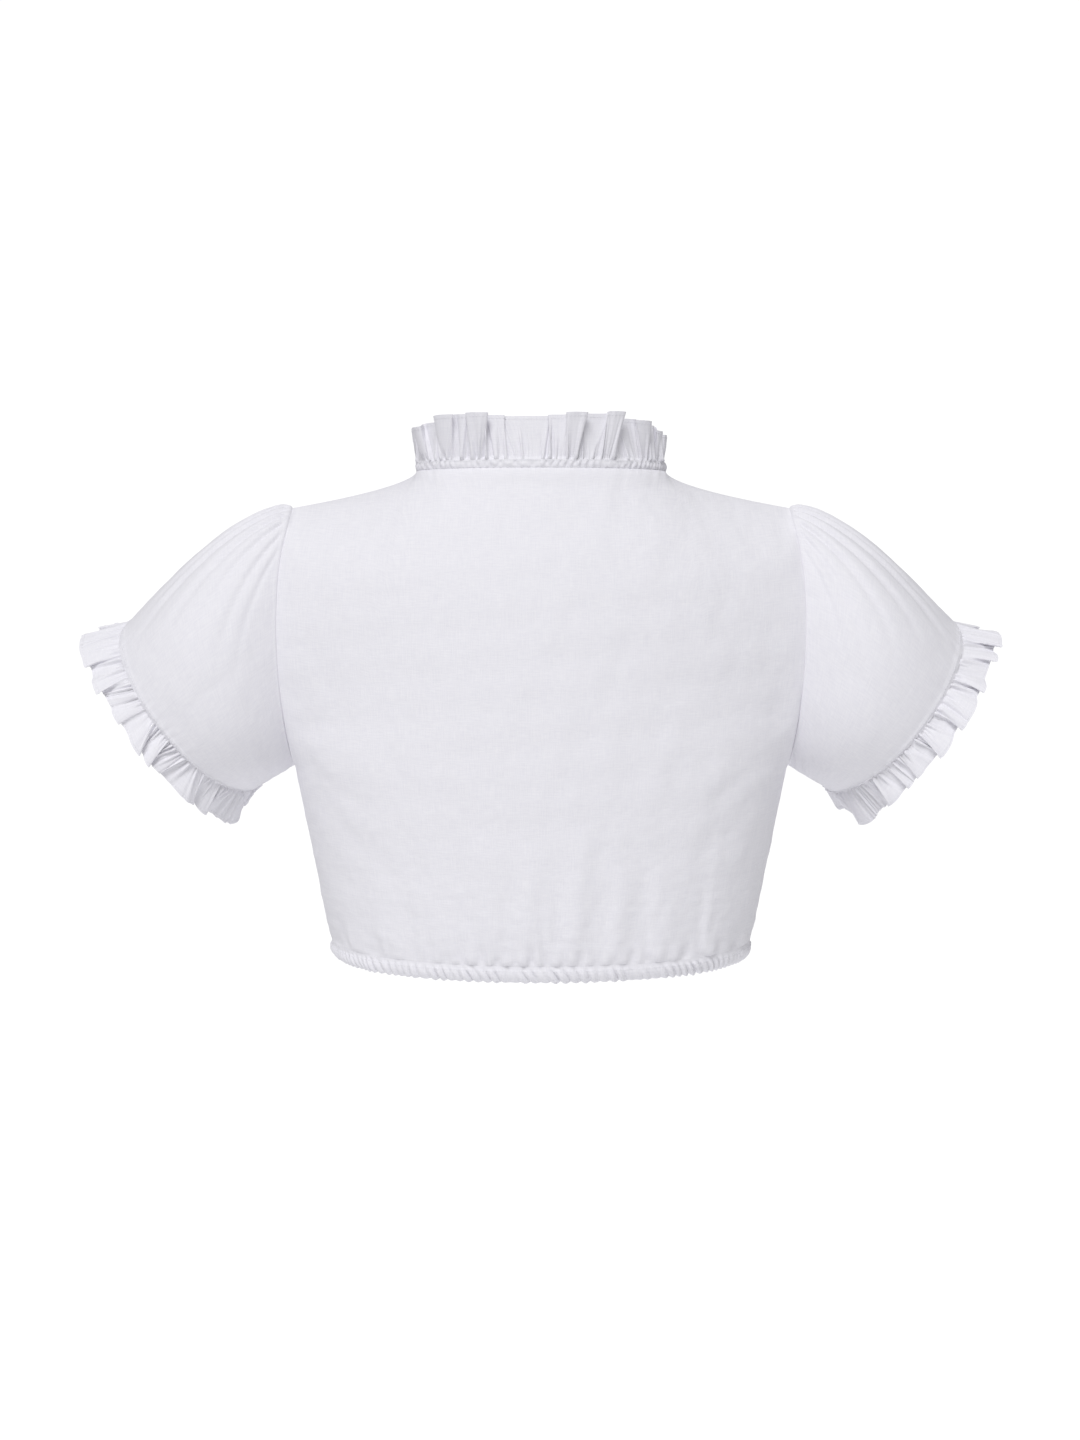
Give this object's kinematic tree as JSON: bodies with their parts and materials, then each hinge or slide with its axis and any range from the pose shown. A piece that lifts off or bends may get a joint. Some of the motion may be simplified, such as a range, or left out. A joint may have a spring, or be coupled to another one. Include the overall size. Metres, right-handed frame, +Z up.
{
  "type": "dirndl blouse",
  "caption": "White cotton dirndl blouse, worn shape with nobody in it: short puffed sleeves with ruffled ends, a stand-up neck ruffle and a gathered elastic hem.",
  "frame": {"origin": "middle of the neck opening, at the height of the shoulder seams' inner ends", "axes": "+Z up, the front faces -Y, the wearer's left is +X"},
  "size_m": [0.7109, 0.2387, 0.4256],
  "materials": {
    "cotton": "matt plain weave, fine"
  },
  "bodies": {
    "root": {"back": "cotton", "front": "cotton", "sleeve_left": "cotton", "sleeve_right": "cotton", "cuff_ruffle_left": "cotton", "cuff_ruffle_right": "cotton", "neck_band": "cotton", "neck_ruffle": "cotton", "hem_casing": "cotton"}
  },
  "joints": []
}
